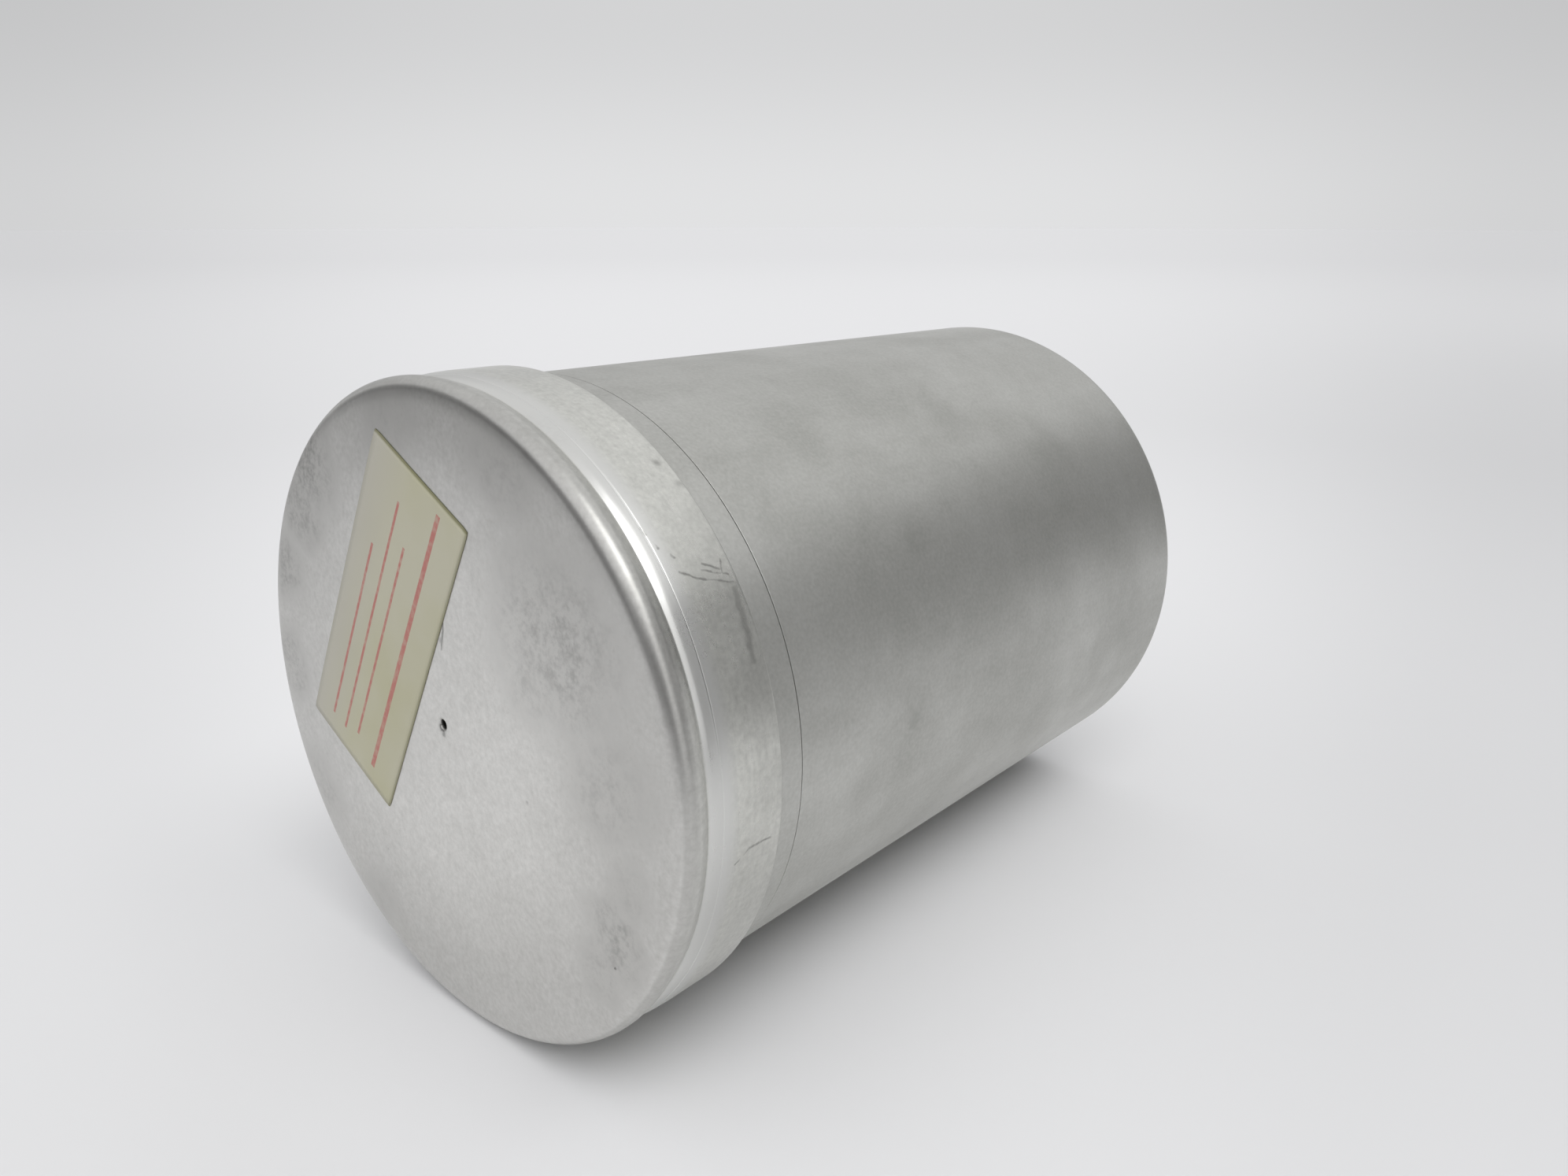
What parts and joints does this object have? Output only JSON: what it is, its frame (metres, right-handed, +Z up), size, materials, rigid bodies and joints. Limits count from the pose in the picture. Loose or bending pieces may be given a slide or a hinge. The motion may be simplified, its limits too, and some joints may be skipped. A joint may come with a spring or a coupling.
{
  "type": "liquid nitrogen dewar",
  "caption": "Small round metal vacuum dewar lying on its side, with a slip-on spun cover over its mouth, a wound-insulation vacuum wall and a plugged pump-out port in its base.",
  "frame": {"origin": "on the floor under the middle of the lying dewar", "axes": "+X along the dewar from its cover towards its base, within one degree; +Z up; the dewar lies on its side"},
  "size_m": [0.1502, 0.1048, 0.105],
  "materials": {
    "spun_aluminium": "spun and bead blasted, dull",
    "blasted_stainless": "bead blasted, dull grey",
    "drawn_stainless": "bright drawn",
    "foil": "bright film",
    "spacer_paper": "matt",
    "glass_laminate": "sawn glass cloth laminate",
    "charcoal": "pressed granules",
    "copper": "soft copper",
    "red_vinyl": "soft vinyl",
    "black_rubber": "moulded",
    "cream_foam": "rigid closed-cell foam"
  },
  "bodies": {
    "vessel": {"outer_can": "blasted_stainless", "neck_collar": "blasted_stainless", "collar_ring": "black_rubber", "inner_vessel": "drawn_stainless", "foil_wrap": "foil", "paper_wrap": "spacer_paper", "foil_base_cap": "foil", "paper_base_cap": "spacer_paper", "centring_block_1": "glass_laminate", "centring_block_2": "glass_laminate", "centring_block_3": "glass_laminate", "getter_cup": "drawn_stainless", "getter_charge": "charcoal", "getter_screen": "drawn_stainless", "port_boss": "drawn_stainless", "pinch_off_tube": "copper", "tip_guard": "red_vinyl"},
    "cover": {"protective_cover": "spun_aluminium", "vent_stopper": "cream_foam"},
    "port_plug": {"port_plug": "black_rubber"}
  },
  "joints": [
    {"name": "cover_pull", "type": "slide", "parent": "vessel", "child": "cover", "axis": [-0.9999, 0, 0.0133], "range_m": [0, 0.11]},
    {"name": "port_plug_pull", "type": "slide", "parent": "vessel", "child": "port_plug", "axis": [0.9999, 0, -0.0133], "range_m": [0, 0.035]}
  ]
}
